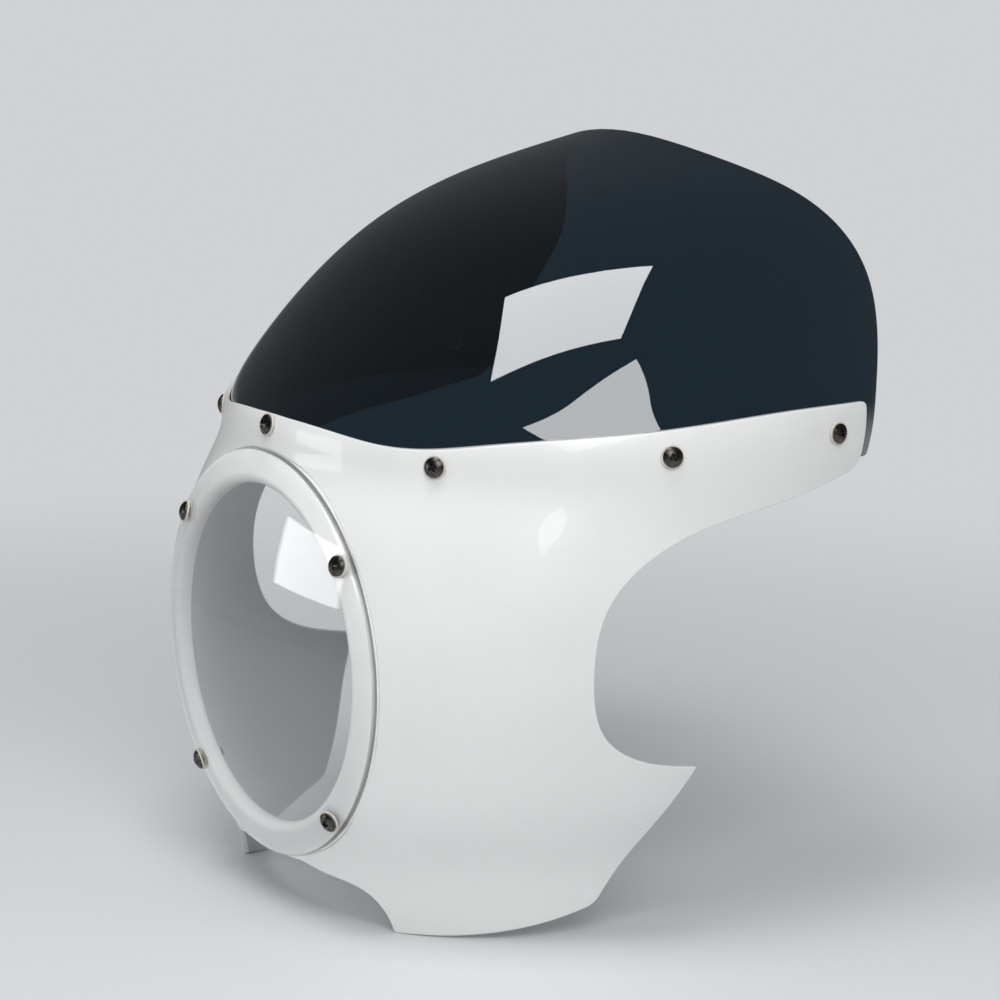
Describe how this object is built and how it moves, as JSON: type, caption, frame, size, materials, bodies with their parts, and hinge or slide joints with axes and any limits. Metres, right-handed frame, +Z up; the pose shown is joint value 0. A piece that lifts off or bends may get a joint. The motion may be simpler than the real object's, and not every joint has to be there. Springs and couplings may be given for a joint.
{
  "type": "headlight cowl",
  "caption": "Moulded motorbike headlight cowl with a smoked bubble windscreen screwed inside its rim and a clear domed lens cover over the round lamp opening",
  "frame": {"origin": "centre of the lens rim, on the axis of the headlight opening", "axes": "+Y from the lens back into the cowl along the lamp's axis, front faces -Y, +Z up, +X to the right seen from behind"},
  "size_m": [0.3786, 0.3055, 0.3988],
  "materials": {
    "shell": "white gloss moulding",
    "screen": "smoked blue-black acrylic, polished",
    "lens": "clear acrylic, polished",
    "screw": "black nickel plating",
    "washer": "natural nylon",
    "hardware": "zinc plating"
  },
  "bodies": {
    "root": {"cowl_shell": "shell", "windscreen": "screen", "lens_cover": "lens", "windscreen_screws": "screw", "windscreen_washers": "washer", "windscreen_backing_washers": "hardware", "windscreen_nuts": "hardware", "lens_screws": "screw", "lens_washers": "washer", "lens_backing_washers": "hardware", "lens_nuts": "hardware"}
  },
  "joints": []
}
